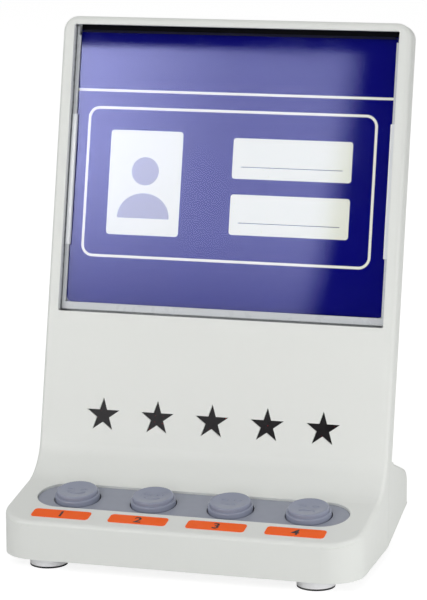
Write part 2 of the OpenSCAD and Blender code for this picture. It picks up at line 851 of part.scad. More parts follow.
module clip() {
    on_panel() along_panel(window_low + clip_low, window_low + clip_low + clip_len) clip_section();
}
module clip_right() { color("lightgray") clip(); }
module clip_left() { color("lightgray") mirror([1, 0, 0]) clip(); }

module name_card() {
    low = ledge_top + thin_gap;
    color(NAVY) on_panel((low + card_high) / 2) slab(card_face, card_face + card_t)
        rounded_rect(2 * card_half, card_high - low, card_corner_r);
}

module clear_cover() {
    back = cover_face + cover_t;
    color([0.8, 0.9, 1, 0.4]) on_panel() difference() {
        along_x(2 * card_half) polygon([
            [ledge_top, -cover_face], [cover_high - cover_bevel, -cover_face],
            [cover_high, -cover_face - cover_bevel], [cover_high, -back], [ledge_top, -back]
        ]);
        both_sides() translate([card_half - card_corner_r, cover_high - card_corner_r])
            slab(0, back + over) corner_cut(card_corner_r);
    }
}

module key_plate() {
    color(SLATE) on_deck() difference() {
        union() {
            slab(plate_sink, -plate_back) stadium(plate_half_len, plate_half);
            slab(wall, -plate_back) stadium(plate_half_len + flange_w, plate_half + flange_w);
            for (i = [0 : button_count - 2], y = [-1, 1])
                translate([(button_x[i] + button_x[i + 1]) / 2, y * plate_post_y, board_face])
                cylinder(d = plate_post_d, h = plate_back - board_face + flange_t / 2);
        }
        for (x = button_x) translate([x, 0, plate_back - over])
            cylinder(d = button_hole_d, h = over - plate_back + over);
    }
}

// Half section of a button: flange, barrel, step, cap with its dished top, and the stem inside.
module button_section() {
    low = button_flange_low;
    stop = 2 * button_hole_d;
    difference() {
        union() {
            translate([0, low]) square([button_flange_r, button_flange_t]);
            translate([0, low]) square([button_r - soft_r, step_rise - low]);
            translate([0, low]) square([button_r, step_rise - soft_r - low]);
            translate([button_r - soft_r, step_rise - soft_r]) circle(soft_r);
            translate([0, low]) square([cap_r, button_rise - soft_r - low]);
            square([cap_r - soft_r, button_rise]);
            translate([cap_r - soft_r, button_rise - soft_r]) circle(soft_r);
        }
        translate([0, button_rise + dish_ball_r - dish_depth]) circle(dish_ball_r);
        translate([stem_r, low - over])
            square([cap_r - button_wall - stem_r, button_ceiling - low + over]);
        translate([-over, low - stop]) square([over + stem_r + over, stop - low + stem_low]);
        translate([-stop, -stop]) square([stop, 2 * stop]);
    }
}

module button(i) {
    color(BUTTON_GREY) on_deck(button_x[i]) rotate_extrude() button_section();
}
module button_1() { button(0); }
module button_2() { button(1); }
module button_3() { button(2); }
module button_4() { button(3); }

// A coil spring between the board and the button's ceiling, as one swept tube.
module return_spring(i) {
    rings = 16 * spring_turns;
    sides = 6;
    wire_r = spring_wire / 2;
    end_gap = 0.05;
    low = board_face + wire_r + end_gap;
    high = button_ceiling - wire_r - end_gap;
    function centre(k) = let (t = k / rings, a = 360 * spring_turns * t)
        [spring_d / 2 * cos(a), spring_d / 2 * sin(a), low + (high - low) * t];
    points = [
        for (k = [0 : rings]) let (c = centre(k), a = 360 * spring_turns * k / rings)
            for (j = [0 : sides - 1]) let (b = 360 * j / sides)
                c + wire_r * [cos(b) * cos(a), cos(b) * sin(a), sin(b)]
    ];
    faces = concat(
        [[for (j = [0 : sides - 1]) j]],
        [for (k = [0 : rings - 1], j = [0 : sides - 1]) let (n = (j + 1) % sides)
            [k * sides + j, (k + 1) * sides + j, (k + 1) * sides + n]],
        [for (k = [0 : rings - 1], j = [0 : sides - 1]) let (n = (j + 1) % sides)
            [k * sides + j, (k + 1) * sides + n, k * sides + n]],
        [[for (j = [sides - 1 : -1 : 0]) rings * sides + j]]
    );
    color("silver") on_deck(button_x[i]) polyhedron(points, faces);
}
module return_spring_1() { return_spring(0); }
module return_spring_2() { return_spring(1); }
module return_spring_3() { return_spring(2); }
module return_spring_4() { return_spring(3); }

module key_switches() {
    color("dimgray") for (x = button_x) on_deck(x) {
        translate([-switch_w / 2, -switch_w / 2, board_face]) cube([switch_w, switch_w, switch_body_h]);
        translate([0, 0, board_face + switch_body_h / 2])
            cylinder(d = plunger_d, h = switch_h - switch_body_h / 2);
    }
}

module key_board() {
    color(BOARD_GREEN) difference() {
        on_deck() slab(-board_face, -board_face + board_t)
            rounded_rect(2 * key_board_half_w, 2 * key_board_half_d, board_r);
        at_key_posts() translate([0, 0, board_face - board_t - over])
            cylinder(d = hole_d, h = board_t + 2 * over);
    }
}

module star_strip(from, to) {
    on_panel(star_row) slab(from, to) rounded_rect(2 * lens_half, 2 * lens_rise, lens_border);
}

module star_lens() {
    side_gap = thin_gap / sin(18);
    color([0.12, 0.03, 0.05]) {
        star_strip(wall, lens_back);
        on_panel(star_row) slab(star_sink, wall + lens_t / 2) for (x = star_x)
            translate([x, 0]) star(star_r - side_gap);
    }
}

module star_baffle() {
    color("white") difference() {
        star_strip(lens_back, star_board_face);
        on_panel(star_row) for (x = star_x) translate([x, 0, -star_board_face - 1])
            cylinder(r = star_r - thin_gap, h = star_board_face);
    }
}

module star_leds() {
    color("crimson") on_panel(star_row) for (x = star_x) translate([x, 0, -star_board_face])
        cylinder(d = led_d, h = led_h);
}

module star_board() {
    color(BOARD_GREEN) difference() {
        on_panel(star_row) slab(star_board_face, star_board_back)
            rounded_rect(2 * (star_post_x + boss_d / 2), 2 * lens_rise, board_r);
        at_star_posts() translate([0, 0, -star_board_back - over])
            cylinder(d = hole_d, h = board_t + 2 * over);
    }
}

module main_board() {
    color(BOARD_GREEN) difference() {
        translate([-main_half_w, main_front_y, main_z])
            cube([2 * main_half_w, main_rear_y - main_front_y, board_t]);
        at_main_posts() translate([0, 0, -over]) cylinder(d = hole_d, h = board_t + 2 * over);
    }
}

module data_socket() {
    color("dimgray") translate([0, socket_face_y, 0]) difference() {
        translate([-socket_w / 2, -socket_len, socket_low]) cube([socket_w, socket_len, socket_h]);
        translate([-jack_w / 2, -jack_depth, jack_low]) cube([jack_w, jack_depth + over, jack_h]);
        translate([-latch_w / 2, -jack_depth, jack_low + jack_h / 2])
            cube([latch_w, jack_depth + over, jack_h / 2 + latch_h]);
    }
}

module speaker() {
    rim = 2;
    cone = speaker_h - 3;
    color("dimgray") on_hump(speaker_v) translate([speaker_x, 0, -wall - speaker_h]) rotate_extrude()
        polygon([
            [0, 0], [magnet_d / 2, 0], [magnet_d / 2, speaker_h / 2], [speaker_d / 2, speaker_h - rim],
            [speaker_d / 2, speaker_h], [speaker_d / 2 - rim, speaker_h], [magnet_d / 4, cone], [0, cone]
        ]);
}

module label(i) {
    color(ORANGE) on_deck(button_x[i] - label_shift) translate([0, -label_row]) slab(-label_t, 0)
        rounded_rect(label_w, label_d, label_r);
}
module label_1() { label(0); }
module label_2() { label(1); }
module label_3() { label(2); }
module label_4() { label(3); }

function foot_place(i) = [
    (i % 2 == 0 ? -1 : 1) * foot_x, i < 2 ? front_y + foot_front : rear_y - foot_rear, 0
];

module foot(i) {
    color("whitesmoke") translate(foot_place(i) + [0, 0, pad_t]) cylinder(d = foot_d, h = foot_h - pad_t);
}
module foot_1() { foot(0); }
module foot_2() { foot(1); }
module foot_3() { foot(2); }
module foot_4() { foot(3); }

module foot_pads() {
    color([0.1, 0.1, 0.1]) for (i = [0 : 3]) translate(foot_place(i)) cylinder(d = foot_d, h = pad_t);
}

module shell_screws() {
    color("silver") {
        at_base_screws() translate([0, 0, screw_seat_z]) screw(base_screw_len);
        at_panel_screws() translate([0, 0, -panel_seat_n]) screw(panel_screw_len);
    }
}

module board_screws() {
    color("silver") {
        at_key_posts() translate([0, 0, board_face - board_t]) screw(board_screw_len);
        at_star_posts() translate([0, 0, -star_board_back]) screw(board_screw_len);
        at_main_posts() translate([0, 0, board_t]) rotate([180, 0, 0]) screw(board_screw_len);
    }
}

front_shell();
rear_shell();
card_tray();
clip_left();
clip_right();
name_card();
clear_cover();
key_plate();
button_1();
button_2();
button_3();
button_4();
return_spring_1();
return_spring_2();
return_spring_3();
return_spring_4();
key_switches();
key_board();
star_lens();
star_baffle();
star_leds();
star_board();
main_board();
data_socket();
speaker();
label_1();
label_2();
label_3();
label_4();
foot_1();
foot_2();
foot_3();
foot_4();
foot_pads();
shell_screws();
board_screws();
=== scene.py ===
"""Looks of a customer feedback button terminal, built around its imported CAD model."""

import math

import bmesh
import bpy
from mathutils import Matrix, Vector


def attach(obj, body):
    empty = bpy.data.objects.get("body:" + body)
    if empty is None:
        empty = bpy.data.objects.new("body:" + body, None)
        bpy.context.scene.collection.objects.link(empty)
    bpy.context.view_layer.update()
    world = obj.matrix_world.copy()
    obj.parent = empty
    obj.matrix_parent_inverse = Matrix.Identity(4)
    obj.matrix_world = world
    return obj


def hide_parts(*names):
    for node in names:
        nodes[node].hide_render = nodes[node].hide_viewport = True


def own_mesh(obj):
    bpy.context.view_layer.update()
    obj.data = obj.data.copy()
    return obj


MM = 0.001

# Sizes of the model that the pieces and patterns here are placed by, in millimetres.
VERTEX_Y, VERTEX_Z = -1.063, 31.735
PANEL_LEAN = math.radians(12.7)
DECK_SLOPE = math.radians(9.7)
BUTTON_ROW = 26.6
BUTTON_PITCH = 36.1
BUTTON_RISE = 3.3
DISH_DEPTH = 0.8
DISH_R = 8.3
LABEL_ROW = 20.0
LABEL_SHIFT = 0.9
LABEL_T = 0.25
BUTTON_X = [(i - 1.5) * BUTTON_PITCH for i in range(4)]

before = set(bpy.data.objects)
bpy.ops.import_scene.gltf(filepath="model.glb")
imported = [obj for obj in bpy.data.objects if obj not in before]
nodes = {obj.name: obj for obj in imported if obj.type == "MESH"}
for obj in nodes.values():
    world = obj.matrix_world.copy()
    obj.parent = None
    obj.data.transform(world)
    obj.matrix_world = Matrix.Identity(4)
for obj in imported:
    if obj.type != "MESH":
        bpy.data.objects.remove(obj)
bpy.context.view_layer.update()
scene = bpy.context.scene
scene.view_settings.view_transform = "Standard"


def linear(r, g, b):
    """A colour as it looks on screen, 0 to 255, as the shaders take it."""
    out = []
    for c in (r, g, b):
        c /= 255
        out.append(c / 12.92 if c <= 0.04045 else ((c + 0.055) / 1.055) ** 2.4)
    return (*out, 1.0)


# ---------------------------------------------------------------- node helpers


class Graph:
    """A material's node tree with short calls for arithmetic on its values."""

    def __init__(self, name):
        self.material = bpy.data.materials.new(name)
        self.material.use_nodes = True
        self.tree = self.material.node_tree
        self.shader = self.tree.nodes["Principled BSDF"]
        self.output = self.tree.nodes["Material Output"]
        coordinates = self.new("ShaderNodeTexCoord")
        self.place = coordinates.outputs["Object"]

    def new(self, kind, **settings):
        node = self.tree.nodes.new(kind)
        for name, value in settings.items():
            setattr(node, name, value)
        return node

    def link(self, source, target):
        if hasattr(source, "links"):
            self.tree.links.new(source, target)
        else:
            target.default_value = source

    def math(self, operation, *values):
        node = self.new("ShaderNodeMath", operation=operation)
        for i, value in enumerate(values):
            self.link(value, node.inputs[i])
        return node.outputs[0]

    def add(self, a, b):
        return self.math("ADD", a, b)

    def sub(self, a, b):
        return self.math("SUBTRACT", a, b)

    def mul(self, a, b):
        return self.math("MULTIPLY", a, b)

    def split(self, vector):
        node = self.new("ShaderNodeSeparateXYZ")
        self.link(vector, node.inputs[0])
        return node.outputs

    def mix(self, share, a, b):
        node = self.new("ShaderNodeMix", data_type="RGBA")
        self.link(share, node.inputs["Factor"])
        self.link(a, node.inputs[6])
        self.link(b, node.inputs[7])
        return node.outputs[2]

    def smooth(self, value, low, high, out_low=0.0, out_high=1.0):
        node = self.new("ShaderNodeMapRange", interpolation_type="SMOOTHSTEP")
        self.link(value, node.inputs["Value"])
        for name, v in zip(("From Min", "From Max", "To Min", "To Max"), (low, high, out_low, out_high)):
            node.inputs[name].default_value = v
        return node.outputs["Result"]

    def noise(self, size, detail=2.0, rough=0.5, vector=None):
        """Noise whose features are about size millimetres across."""
        node = self.new("ShaderNodeTexNoise")
        self.link(self.place if vector is None else vector, node.inputs["Vector"])
        node.inputs["Scale"].default_value = 1 / (size * MM)
        node.inputs["Detail"].default_value = detail
        node.inputs["Roughness"].default_value = rough
        return node.outputs["Fac"]

    def cells(self, size):
        node = self.new("ShaderNodeTexVoronoi")
        self.link(self.place, node.inputs["Vector"])
        node.inputs["Scale"].default_value = 1 / (size * MM)
        return node.outputs["Distance"]

    def bump(self, height, depth, strength=1.0):
        """Relief of depth millimetres; height runs from 0 to 1."""
        node = self.new("ShaderNodeBump")
        node.inputs["Strength"].default_value = strength
        node.inputs["Distance"].default_value = depth * MM
        self.link(height, node.inputs["Height"])
        self.link(node.outputs["Normal"], self.shader.inputs["Normal"])

    def colour(self, value):
        self.link(value, self.shader.inputs["Base Color"])

    def roughness(self, value):
        self.link(value, self.shader.inputs["Roughness"])

    def set(self, **values):
        for name, value in values.items():
            self.shader.inputs[name.replace("_", " ")].default_value = value


def panel_frame(g):
    """(x, height up the panel's face) in millimetres."""
    x, y, z = g.split(g.place)
    y = g.sub(y, VERTEX_Y * MM)
    z = g.sub(z, VERTEX_Z * MM)
    up = g.add(g.mul(y, math.sin(PANEL_LEAN)), g.mul(z, math.cos(PANEL_LEAN)))
    return g.mul(x, 1 / MM), g.mul(up, 1 / MM)


def panel_facing(g):
    """1 where a face looks straight out of the panel, -1 where it looks straight back."""
    x, y, z = g.split(g.new("ShaderNodeNewGeometry").outputs["True Normal"])
    return g.sub(g.mul(z, math.sin(PANEL_LEAN)), g.mul(y, math.cos(PANEL_LEAN)))


def box_distance(g, x, y, x0, x1, y0, y1, r):
    """Distance outside a rounded rectangle, negative inside."""
    dx = g.sub(g.math("ABSOLUTE", g.sub(x, (x0 + x1) / 2)), (x1 - x0) / 2 - r)
    dy = g.sub(g.math("ABSOLUTE", g.sub(y, (y0 + y1) / 2)), (y1 - y0) / 2 - r)
    ax, ay = g.math("MAXIMUM", dx, 0.0), g.math("MAXIMUM", dy, 0.0)
    outer = g.math("SQRT", g.add(g.mul(ax, ax), g.mul(ay, ay)))
    inner = g.math("MINIMUM", g.math("MAXIMUM", dx, dy), 0.0)
    return g.sub(g.add(outer, inner), r)


def nearest(g, distances):
    """The smallest of several distances: the shapes taken together."""
    least = distances[0]
    for d in distances[1:]:
        least = g.math("MINIMUM", least, d)
    return least


def radius(g, dx, dy):
    return g.math("SQRT", g.add(g.mul(dx, dx), g.mul(dy, dy)))


def inside(g, distance, soft=0.12):
    return g.smooth(distance, -soft, soft, 1.0, 0.0)


def moulded(name, colour, rough=0.4, grain=0.35, depth=0.02, vary=0.03, specular=0.5):
    """Injection-moulded plastic: fine spark-eroded grain, faint flow in colour and gloss."""
    g = Graph(name)
    flow = g.noise(38, 3.0)
    dark = tuple(c * (1 - vary) for c in colour[:3]) + (1.0,)
    light = tuple(min(1.0, c * (1 + vary)) for c in colour[:3]) + (1.0,)
    g.colour(g.mix(flow, dark, light))
    g.roughness(g.smooth(g.noise(3.5, 4.0), 0.3, 0.7, rough - 0.05, rough + 0.05))
    g.bump(g.add(g.mul(g.noise(grain, 3.0, 0.6), 0.7), g.mul(g.noise(grain * 6, 2.0), 0.3)), depth)
    g.set(Specular_IOR_Level=specular)
    return g.material


# The card's print: millimetres from the middle and up the panel's face.
PRINT_SHIFT = 0.98
# Height up the face above which the card is painted near-black: painted shade under the window's upper rim.
TOP_SHADE_START = 205.6
RULE_HEIGHT = 177.7
RULE_HALF = 0.6
OUTLINE = (-68.7, 68.7, 100.4, 169.6, 5.0)
OUTLINE_HALF = 0.62
# Left, right, bottom, top and corner radius of the fields for a photograph, a name and a number.
FIELDS = (
    (-57.6, -22.5, 110.6, 159.4, 1.6),
    (1.8, 58.3, 138.7, 157.5, 1.4),
    (1.8, 58.3, 112.8, 131.5, 1.4),
)
WRITING_LINES = (144.2, 118.4)
WRITING_SPAN = (6.0, 54.0)
WRITING_HALF = 0.16
PORTRAIT_X = -40.05
HEAD_HEIGHT, HEAD_R = 140.5, 6.6
SHOULDER_HEIGHT, SHOULDER_R, SHOULDER_FLATNESS = 119.0, 12.6, 1.12
PORTRAIT_FOOT = 118.5
EDGE_SOFT = 0.15


def card_print():
    """Navy card with white rules and pale fields for a photograph, a name and a number."""
    g = Graph("card_print")
    x, s = panel_frame(g)
    x = g.add(x, PRINT_SHIFT)
    navy = g.mix(g.noise(24, 3.0), linear(0, 1, 112), linear(1, 3, 124))
    white = linear(255, 255, 240)
    pale = g.mix(g.noise(9, 3.0), linear(244, 247, 230), linear(250, 252, 236))
    rule = g.sub(g.math("ABSOLUTE", g.sub(s, RULE_HEIGHT)), RULE_HALF)
    outline = g.sub(g.math("ABSOLUTE", box_distance(g, x, s, *OUTLINE)), OUTLINE_HALF)
    lines = g.math("MINIMUM", rule, outline)
    places = nearest(g, [box_distance(g, x, s, *field) for field in FIELDS])
    # Painted shade: above that height the navy turns near-black, standing in for the shade where the card
    # runs up under the window's rim.
    top_shade = g.smooth(s, TOP_SHADE_START - EDGE_SOFT, TOP_SHADE_START + EDGE_SOFT)
    navy = g.mix(top_shade, navy, linear(8, 8, 14))
    colour = g.mix(inside(g, lines), navy, white)
    colour = g.mix(inside(g, places), colour, pale)
    # Generic form marks: a writing line in each field and a plain head and shoulders.
    ink = g.mix(g.noise(1.2, 2.0), linear(92, 94, 106), linear(112, 114, 126))
    marks = nearest(g, [
        box_distance(g, x, s, *WRITING_SPAN, y - WRITING_HALF, y + WRITING_HALF, 0.1) for y in WRITING_LINES
    ])
    colour = g.mix(inside(g, marks, 0.08), colour, ink)
    # The portrait: shoulders cut off straight at their foot.
    across = g.sub(x, PORTRAIT_X)
    head = g.sub(radius(g, across, g.sub(s, HEAD_HEIGHT)), HEAD_R)
    rise = g.mul(g.sub(s, SHOULDER_HEIGHT), SHOULDER_FLATNESS)
    shoulders = g.sub(radius(g, across, rise), SHOULDER_R)
    portrait = nearest(g, [head, g.math("MAXIMUM", shoulders, g.sub(PORTRAIT_FOOT, s))])
    grey = g.mix(g.noise(3.0, 2.0), linear(170, 172, 186), linear(180, 182, 196))
    colour = g.mix(inside(g, portrait), colour, grey)
    # Only the front is printed.
    front = g.math("GREATER_THAN", panel_facing(g), 0.5)
    g.colour(g.mix(front, pale, colour))
    g.roughness(g.smooth(g.noise(2.5, 3.0), 0.3, 0.7, 0.55, 0.65))
    g.bump(g.noise(0.5, 3.0), 0.004)
    g.set(Specular_IOR_Level=0.06)
    return g.material


def clear_sheet():
    """Clear acrylic: what is behind shows through, with a mirror's share by angle."""
    g = Graph("clear_sheet")
    clear = g.new("ShaderNodeBsdfTransparent")
    clear.inputs["Color"].default_value = (1.0, 1.0, 1.0, 1.0)
    mirror = g.new("ShaderNodeBsdfGlossy")
    mirror.inputs["Color"].default_value = (0.54, 0.57, 0.98, 1.0)
    smear = g.smooth(g.noise(30, 4.0, 0.6), 0.35, 0.7, 0.015, 0.05)
    g.link(smear, mirror.inputs["Roughness"])
    waves = g.new("ShaderNodeBump")
    waves.inputs["Strength"].default_value = 1.0
    waves.inputs["Distance"].default_value = 0.02 * MM
    g.link(g.noise(45, 2.0), waves.inputs["Height"])
    g.link(waves.outputs["Normal"], mirror.inputs["Normal"])
    share = g.new("ShaderNodeFresnel")
    share.inputs["IOR"].default_value = 1.6
    inner = g.new("ShaderNodeNewGeometry").outputs["Backfacing"]
    both = g.new("ShaderNodeMixShader")
    g.link(g.mul(share.outputs[0], g.sub(1.0, inner)), both.inputs["Fac"])
    g.link(clear.outputs[0], both.inputs[1])
    g.link(mirror.outputs[0], both.inputs[2])
    # The sawn and bevelled edges are painted an opaque dark navy: painted shade standing in for how dark the
    # acrylic's edges look, nearly as dark as the card behind.
    edge = g.math("LESS_THAN", g.math("ABSOLUTE", panel_facing(g)), 0.9)
    g.colour(g.mix(g.noise(4, 2.0), linear(4, 4, 44), linear(8, 8, 58)))
    g.roughness(0.3)
    whole = g.new("ShaderNodeMixShader")
    g.link(edge, whole.inputs["Fac"])
    g.link(both.outputs[0], whole.inputs[1])
    g.link(g.shader.outputs[0], whole.inputs[2])
    g.link(whole.outputs[0], g.output.inputs["Surface"])
    return g.material


def star_lens():
    """Smoked lens, its colour flecked with painted red glints that stand in for the lamps seen faintly
    behind it.
    """
    g = Graph("star_lens")
    # Painted glints: small dark red flecks in the colour, standing in for the lamps' light seen through the
    # lens.
    painted_glint = g.smooth(g.cells(1.5), 0.10, 0.24, 1.0, 0.0)
    patch = g.smooth(g.noise(2.6, 2.0), 0.52, 0.66)
    red = g.mul(painted_glint, patch)
    g.colour(g.mix(red, linear(14, 10, 14), linear(150, 22, 34)))
    g.roughness(g.smooth(g.noise(4, 3.0), 0.3, 0.7, 0.14, 0.24))
    g.bump(g.noise(1.4, 2.0), 0.03)
    g.set(Specular_IOR_Level=0.2)
    return g.material


def printed_label():
    g = Graph("label_film")
    g.colour(g.mix(g.noise(6, 3.0), linear(255, 96, 14), linear(255, 104, 20)))
    g.roughness(g.smooth(g.noise(3, 3.0), 0.3, 0.7, 0.42, 0.5))
    g.bump(g.noise(0.7, 3.0), 0.002)
    g.set(Specular_IOR_Level=0.2)
    return g.material


def elastomer(name, colour, rough):
    g = Graph(name)
    dark = tuple(c * 0.95 for c in colour[:3]) + (1.0,)
    g.colour(g.mix(g.noise(5, 3.0), dark, colour))
    g.roughness(g.smooth(g.noise(2, 3.0), 0.3, 0.7, rough - 0.06, rough + 0.06))
    g.bump(g.noise(0.5, 3.0), 0.015)
    return g.material


def metal(name, colour, rough, stretch=(1.0, 1.0, 14.0)):
    """Drawn or plated metal with fine streaks along one direction."""
    g = Graph(name)
    scale = g.new("ShaderNodeMapping")
    g.link(g.place, scale.inputs["Vector"])
    scale.inputs["Scale"].default_value = stretch
    streak = g.noise(0.6, 3.0, 0.6, scale.outputs[0])
    dark = tuple(c * 0.82 for c in colour[:3]) + (1.0,)
    g.colour(g.mix(streak, dark, colour))
    g.roughness(g.smooth(streak, 0.3, 0.7, rough - 0.06, rough + 0.08))
    g.bump(streak, 0.006)
    g.set(Metallic=1.0)
    return g.material


def circuit_board():
    g = Graph("circuit_board")
    x, y, z = g.split(g.place)
    tracks = g.math("PINGPONG", g.mul(x, 1 / MM), 1.6)
    band = g.smooth(tracks, 0.25, 0.4)
    weave = g.mul(g.noise(0.8, 3.0), g.smooth(g.noise(14, 2.0), 0.42, 0.55))
    g.colour(g.mix(g.mul(band, weave), linear(18, 74, 40), linear(34, 110, 60)))
    g.roughness(g.smooth(g.noise(3, 3.0), 0.3, 0.7, 0.28, 0.4))
    g.bump(g.mul(band, 0.5), 0.03)
    return g.material


def speaker_cone():
    g = Graph("speaker_cone")
    g.colour(g.mix(g.noise(1.1, 4.0), linear(34, 34, 36), linear(58, 57, 58)))
    g.roughness(g.smooth(g.noise(2, 3.0), 0.3, 0.7, 0.55, 0.75))
    g.bump(g.noise(0.3, 4.0), 0.03)
    return g.material


def lamp():
    g = Graph("lamp")
    g.colour(g.mix(g.noise(1.4, 2.0), linear(120, 14, 16), linear(170, 26, 26)))
    g.roughness(g.smooth(g.noise(2, 2.0), 0.3, 0.7, 0.1, 0.18))
    g.set(Coat_Weight=0.5, Coat_Roughness=0.06)
    return g.material


SHELL = moulded("shell_grey", linear(229, 231, 227), rough=0.42, grain=0.42, depth=0.022, vary=0.012)
LOOKS = {
    "front_shell": SHELL,
    "rear_shell": SHELL,
    "card_tray": moulded("rail_grey", linear(202, 205, 208), rough=0.3, grain=0.6, depth=0.01),
    "clip": moulded("clip_grey", linear(232, 235, 238), rough=0.2, grain=0.8, depth=0.006),
    "name_card": card_print(),
    "clear_cover": clear_sheet(),
    "key_plate": moulded("slate", linear(151, 155, 168), rough=0.4, grain=0.3, depth=0.02),
    "button": moulded("button_grey", linear(144, 149, 167), rough=0.2, grain=0.3, depth=0.012),
    "return_spring": metal("spring_wire", linear(190, 190, 194), 0.3),
    "key_switches": moulded("switch_black", linear(52, 52, 55), rough=0.5, grain=0.3),
    "key_board": circuit_board(),
    "star_lens": star_lens(),
    "star_baffle": moulded("baffle_white", linear(228, 228, 228), rough=0.5, grain=0.5),
    "star_leds": lamp(),
    "data_socket": moulded("socket_black", linear(46, 46, 49), rough=0.36, grain=0.3),
    "speaker": speaker_cone(),
    "label": printed_label(),
    "foot": elastomer("foot_pale", linear(250, 250, 252), 0.34),
    "foot_pads": elastomer("pad_black", linear(30, 30, 32), 0.7),
    "screws": metal("zinc_screw", linear(186, 186, 190), 0.28, (1.0, 1.0, 1.0)),
}
LOOKS["star_board"] = LOOKS["main_board"] = LOOKS["key_board"]
LOOKS["shell_screws"] = LOOKS["board_screws"] = LOOKS["screws"]
for i in range(1, 5):
    for kind in ("button", "return_spring", "label", "foot"):
        LOOKS[f"{kind}_{i}"] = LOOKS[kind]
for side in ("left", "right"):
    LOOKS[f"clip_{side}"] = LOOKS["clip"]


for name, obj in nodes.items():
    obj.data.materials.clear()
    obj.data.materials.append(LOOKS[name])


# ---------------------------------------------------------------- added pieces


def mesh_object(name, bm, material, body):
    data = bpy.data.meshes.new(name)
    bm.to_mesh(data)
    bm.free()
    obj = bpy.data.objects.new(name, data)
    scene.collection.objects.link(obj)
    data.materials.append(material)
    for face in data.polygons:
        face.use_smooth = True
    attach(obj, body)
    return obj


def deck_matrix(x, y=0.0, z=0.0):
    """From millimetres in the deck's frame, with its origin in the button row, to the row frame."""
    turn = Matrix.Rotation(DECK_SLOPE, 4, "X")
    origin = Matrix.Translation((0, VERTEX_Y, VERTEX_Z))
    return Matrix.Scale(MM, 4) @ origin @ turn @ Matrix.Translation((x, y - BUTTON_ROW, z))


def add_tube(bm, points, r, sides=10):
    """A round bar with domed ends along points, in the same units."""
    rings = []
    points = [Vector(p) for p in points]
    stations = []
    for before, p, after in zip(points[:1] + points, points, points[1:] + points[-1:]):
        stations.append((p, (after - before).normalized(), r))
    # How far each ring of a domed end stands out, and how wide it is, as shares of the radius.
    caps = [(0.5, 0.866), (0.9, 0.436)]
    first, last = stations[0], stations[-1]
    start = [(first[0] - first[1] * r * a, first[1], r * b) for a, b in reversed(caps)]
    end = [(last[0] + last[1] * r * a, last[1], r * b) for a, b in caps]
    for p, d, ring_r in start + stations + end:
        side = d.cross(Vector((0, 0, 1))).normalized()
        top = side.cross(d)
        ring = []
        for k in range(sides):
            a = 2 * math.pi * k / sides
            ring.append(bm.verts.new(p + (side * math.cos(a) + top * math.sin(a)) * ring_r))
        rings.append(ring)
    for a, b in zip(rings, rings[1:]):
        for k in range(sides):
            n = (k + 1) % sides
            bm.faces.new((a[k], a[n], b[n], b[k]))
    bm.faces.new(rings[0][::-1])
    bm.faces.new(rings[-1])


def dish_height(x, y):
    ball = (DISH_R**2 + DISH_DEPTH**2) / (2 * DISH_DEPTH)
    return BUTTON_RISE - DISH_DEPTH + (x * x + y * y) / (2 * ball)


RELIEF_R = 0.46
RELIEF_SINK = 0.16
MOUTH_Y, MOUTH_STEPS = -2.3, 12
EYE_X, EYE_Y, EYE_HALF, EYE_STEPS = 3.0, 1.9, 1.3, 6
# Mouth of each button's plain rating mark: its curve, from glad to sad, and its half width.
MOUTHS = ((1.5, 3.9), (0.8, 3.4), (0.0, 3.0), (-1.2, 3.4))


def rating_mark(i):
    """Two eyes and a mouth in low relief on a button's dish."""
    curve, half = MOUTHS[i]
    bm = bmesh.new()

    def lay(points):
        add_tube(bm, [(x, y, dish_height(x, y) - RELIEF_SINK) for x, y in points], RELIEF_R)

    def stations(steps):
        return [2 * k / steps - 1 for k in range(steps + 1)]

    middle = MOUTH_Y - curve / 3
    lay([(half * u, middle + curve * u**2) for u in stations(MOUTH_STEPS)])
    lift = max(curve, 0) / 2
    for side in (-1, 1):
        lay([(side * EYE_X + EYE_HALF * u, EYE_Y - lift * u**2) for u in stations(EYE_STEPS)])
    bmesh.ops.recalc_face_normals(bm, faces=bm.faces)
    bmesh.ops.transform(bm, matrix=deck_matrix(BUTTON_X[i]), verts=bm.verts)
    return mesh_object(f"rating_mark_{i + 1}", bm, LOOKS["button"], f"key_{i + 1}")


def dark_ink():
    g = Graph("dark_ink")
    g.colour(g.mix(g.noise(1.2, 3.0), linear(44, 24, 30), linear(62, 34, 38)))
    g.roughness(g.smooth(g.noise(1.0, 3.0), 0.3, 0.7, 0.4, 0.5))
    g.bump(g.noise(0.3, 3.0), 0.004)
    return g.material


INK = dark_ink()


NUMBER_SIZE = 7.2
NUMBER_BOLDNESS = 0.16
INK_T = 0.02


def label_number(i):
    """The button's number, printed in the middle of its label."""
    curve = bpy.data.curves.new(f"number_{i + 1}", "FONT")
    curve.body = str(i + 1)
    curve.size = NUMBER_SIZE
    curve.offset = NUMBER_BOLDNESS
    curve.align_x = "CENTER"
    curve.align_y = "CENTER"
    curve.extrude = INK_T
    curve.resolution_u = 6
    source = bpy.data.objects.new(f"number_curve_{i + 1}", curve)
    scene.collection.objects.link(source)
    bpy.context.view_layer.update()
    data = bpy.data.meshes.new_from_object(source.evaluated_get(bpy.context.evaluated_depsgraph_get()))
    bm = bmesh.new()
    bm.from_mesh(data)
    bpy.data.objects.remove(source)
    bmesh.ops.remove_doubles(bm, verts=bm.verts, dist=0.001)
    across = [v.co.x for v in bm.verts]
    along = [v.co.y for v in bm.verts]
    middle = ((min(across) + max(across)) / 2, (min(along) + max(along)) / 2)
    bmesh.ops.translate(bm, vec=(-middle[0], -middle[1], INK_T / 2), verts=bm.verts)
    place = deck_matrix(BUTTON_X[i] - LABEL_SHIFT, -LABEL_ROW, LABEL_T)
    bmesh.ops.transform(bm, matrix=place, verts=bm.verts)
    obj = mesh_object(f"label_number_{i + 1}", bm, INK, "housing")
    for face in obj.data.polygons:
        face.use_smooth = False
    return obj


